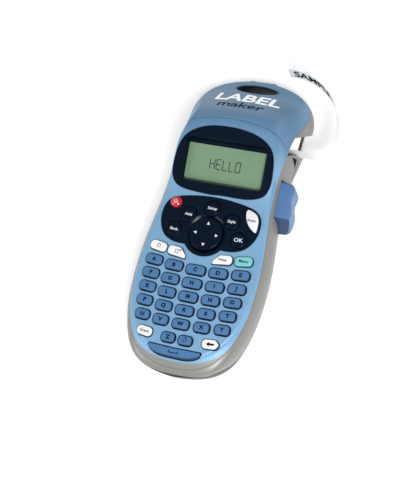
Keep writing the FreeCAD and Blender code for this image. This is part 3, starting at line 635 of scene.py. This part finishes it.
def bar(x0, y0, x1, y1, width):
    """Straight stroke with pointed ends."""
    start, end = Vector((x0, y0)), Vector((x1, y1))
    along = (end - start).normalized()
    side = Vector((-along.y, along.x)) * width / 2
    tip = along * width / 2
    corners = [start, start + tip + side, end - tip + side, end, end - tip - side,
               start + tip - side]
    return flat_polygon([(p.x, p.y) for p in corners])


def segment_word(word, width, height, step, stroke):
    """Word in display segments, as separate bars, centred on the origin."""
    bars = []
    left = -((len(word) - 1) * step + width) / 2
    for index, letter in enumerate(word):
        x = left + index * step
        for x0, y0, x1, y1 in SEGMENT_STROKES[letter]:
            bars.append(bar(x + x0 * width, (y0 / 2 - 0.5) * height,
                            x + x1 * width, (y1 / 2 - 0.5) * height, stroke))
    return join(bars)


def display_word():
    word = segment_word("HELLO", width=0.0030, height=0.0064, step=0.0043, stroke=0.00062)
    bmesh.ops.triangulate(word, faces=word.faces)
    thicken(word)
    place = display_matrix(0.0002, LCD_MIDDLE - 0.0012, LCD_LIFT + 0.00008)
    bmesh.ops.transform(word, matrix=place, verts=word.verts)
    add_mesh("display_word", word, SEGMENTS, "case")


def display_top_shade():
    """Black strip along the upper edge of the display glass: painted shade under the bezel."""
    half, low, high = 0.0276, 0.0104, 0.0142
    sheet = flat_polygon([(-half, low), (half, low), (half, high), (-half, high)])
    thicken(sheet)
    place = display_matrix(0, LCD_MIDDLE, LCD_LIFT + 0.00012)
    bmesh.ops.transform(sheet, matrix=place, verts=sheet.verts)
    add_mesh("display_top_shade", sheet, FASCIA, "case")


# ---------------------------------------------------------------- label
LOOP_CENTRE = Vector((0.0231, 0.0848, 0))  # axis of the curl of the label
LOOP_R = 0.039                             # middle of the tape
HALF_TAPE = 0.00013
TAPE_MIDDLE_Z = 0.0283
LABEL_END = math.radians(91.5)             # angle of the free end on the curl
PRINT_MARGIN = 0.0022                      # from the free end to the first letter


def label_printing():
    """Words printed on the inner face of the curled label."""
    bm = text_mesh("SAMPLE TEXT", 0.0104, bold=0.00030, wide=0.90)
    refine(bm, 0.0008)
    left = min(v.co.x for v in bm.verts)
    radius = LOOP_R - HALF_TAPE - SHEET
    thicken(bm)
    for vertex in bm.verts:
        along, up, out = vertex.co
        angle = LABEL_END - (PRINT_MARGIN + along - left) / LOOP_R
        reach = radius - out
        around = Vector((reach * math.cos(angle), reach * math.sin(angle), TAPE_MIDDLE_Z + up))
        vertex.co = LOOP_CENTRE + around
    bmesh.ops.recalc_face_normals(bm, faces=bm.faces)
    add_mesh("label_words", bm, PRINT_AND_SHADE_BLACK, "case")


def tape_exit():
    """White plate behind the tape exit, glowing a little as painted light, and dark sheets of
    painted shade in the slit of the cutter beside it.
    """
    outline = [(0.0692, 0.0345), (0.0770, 0.0345), (0.0860, 0.0200), (0.0900, 0.0080),
               (0.0780, 0.0080), (0.0692, 0.0200)]
    bm = bmesh.new()
    inner, outer = [[bm.verts.new((x, y, z)) for y, z in outline] for x in (0.0332, 0.0344)]
    bm.faces.new(inner)
    bm.faces.new(outer)
    for i in range(len(outline)):
        j = (i + 1) % len(outline)
        bm.faces.new([inner[i], inner[j], outer[j], outer[i]])
    bmesh.ops.recalc_face_normals(bm, faces=bm.faces)
    add_mesh("exit_plate", bm, GUIDE_GLOWING_WHITE, "case")
    side_shade_sheet("cutter_slit", [(0.0595, 0.0252), (0.0657, 0.0258), (0.0640, 0.0322)])
    side_shade_sheet("cutter_slit_edge", [(0.0515, 0.0222), (0.0660, 0.0226), (0.0664, 0.0234),
                                   (0.0515, 0.0229)])


# ---------------------------------------------------------------- small hardware
SCREW_PLACES = ((-0.024, 0.012), (0.024, 0.012), (-0.026, 0.098), (0.026, 0.098))
SCREW_Z = 0.0004
SCREW_PROFILE = [(0, 0.0062), (0.0011, 0.0060), (0.0011, 0.0012), (0.0023, 0.0004),
                 (0.0023, 0.0001), (0.0016, 0), (0.0010, 0.0001), (0.0004, 0.0008), (0, 0.0009)]
CELL_RADIUS = 0.0071
CELL_Z = 0.0112                   # axis of the cells
SPRING_LENGTH, SPRING_RADIUS, SPRING_WIRE = 0.0034, 0.0026, 0.0003
SPRING_GAP = 0.0006               # from the end of a cell to its spring
SPRING_TURNS, POINTS_PER_TURN = 4, 14


def lathe(profile, steps=24):
    """Solid of revolution about Z from (radius, height) pairs that start and end on the axis."""
    bm = bmesh.new()
    rings = []
    for radius, height in profile:
        if radius == 0:
            rings.append([bm.verts.new((0, 0, height))])
        else:
            angles = [2 * math.pi * i / steps for i in range(steps)]
            rings.append([bm.verts.new((radius * math.cos(a), radius * math.sin(a), height))
                          for a in angles])
    for low, high in zip(rings, rings[1:]):
        for i in range(steps):
            j = (i + 1) % steps
            corners = [low[i % len(low)], low[j % len(low)],
                       high[j % len(high)], high[i % len(high)]]
            bm.faces.new(list(dict.fromkeys(corners)))
    bmesh.ops.recalc_face_normals(bm, faces=bm.faces)
    return bm


def case_screws():
    """Countersunk case screws, heads down, with a round recess."""
    for index, (x, y) in enumerate(SCREW_PLACES, start=1):
        bm = lathe(SCREW_PROFILE)
        for face in bm.faces:
            face.smooth = True
        bmesh.ops.translate(bm, vec=(x, y, SCREW_Z), verts=bm.verts)
        add_mesh("case_screw_%d" % index, bm, STEEL, "case")


def coil(name, start, end):
    """Compression spring between two points."""
    start, end = Vector(start), Vector(end)
    axis = (end - start).normalized()
    side = axis.orthogonal().normalized()
    other = axis.cross(side)
    steps = SPRING_TURNS * POINTS_PER_TURN
    curve = bpy.data.curves.new(name, "CURVE")
    curve.dimensions = "3D"
    curve.bevel_depth = SPRING_WIRE
    curve.bevel_resolution = 2
    curve.use_fill_caps = True
    line = curve.splines.new("POLY")
    line.points.add(steps)
    for i in range(steps + 1):
        angle = 2 * math.pi * i / POINTS_PER_TURN
        around = (side * math.cos(angle) + other * math.sin(angle)) * SPRING_RADIUS
        line.points[i].co = (*(start.lerp(end, i / steps) + around), 1)
    piece = add_object(name, curve)
    curve.materials.append(STEEL)
    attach(piece, "case")


def contact_springs():
    """One spring per cell, at alternating ends."""
    low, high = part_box("batteries")
    pitch = (high.x - low.x - 2 * CELL_RADIUS) / 3
    for i in range(4):
        x = low.x + CELL_RADIUS + i * pitch
        if i % 2 == 0:
            near, far = high.y + SPRING_GAP, high.y + SPRING_GAP + SPRING_LENGTH
        else:
            near, far = low.y - SPRING_GAP, low.y - SPRING_GAP - SPRING_LENGTH
        coil("contact_spring_%d" % (i + 1), (x, near, CELL_Z), (x, far, CELL_Z))


# ---------------------------------------------------------------- stage and camera
def area_light(name, place, aim, size, energy):
    light = bpy.data.lights.new(name, "AREA")
    light.shape = "DISK"
    light.size = size
    light.energy = energy
    holder = add_object(name, light)
    holder.location = place
    towards = Vector(aim) - Vector(place)
    holder.rotation_euler = towards.to_track_quat("-Z", "Y").to_euler()


def stage():
    """Pale floor, soft world light and two area lights."""
    bm = bmesh.new()
    bmesh.ops.create_grid(bm, x_segments=2, y_segments=2, size=4.0)
    mesh = bpy.data.meshes.new("floor")
    bm.to_mesh(mesh)
    bm.free()
    floor = add_object("floor", mesh)
    pale = moulded("floor_pale", (0.90, 0.90, 0.90), roughness=0.7, vary=0.005, grain=0.001)
    mesh.materials.append(glow(pale, 0.35))
    world = bpy.data.worlds.new("studio")
    bpy.context.scene.world = world
    world.use_nodes = True
    background = world.node_tree.nodes["Background"]
    background.inputs["Color"].default_value = (0.95, 0.97, 1.0, 1)
    background.inputs["Strength"].default_value = 0.36
    area_light("key_light", (0.42, -0.42, 0.85), aim=(0, 0.01, 0.03), size=0.4, energy=8.0)
    area_light("fill_light", (-0.8, -0.5, 0.6), aim=(0, 0, 0.03), size=0.5, energy=3.0)
    bpy.context.scene.view_settings.view_transform = "Standard"


def camera():
    place = Vector((0.2264, -0.2000, 0.7336))
    look = (Vector((-0.0009, -0.0109, KEY_Z)) - place).normalized()
    right = look.cross(Vector((-0.1781, 0.9324, 0.3144))).normalized()
    up = right.cross(look)
    data = bpy.data.cameras.new("camera")
    data.lens = 86.4
    data.sensor_width = 36.0
    holder = add_object("camera", data)
    turn = Matrix((right, up, -look)).transposed().to_4x4()
    holder.matrix_world = Matrix.Translation(place) @ turn
    bpy.context.scene.camera = holder


camera()
stage()
paint_nodes()
key_legends()
pad_arrows()
power_mark()
head_lettering()
display_word()
display_top_shade()
label_printing()
tape_exit()
case_screws()
contact_springs()
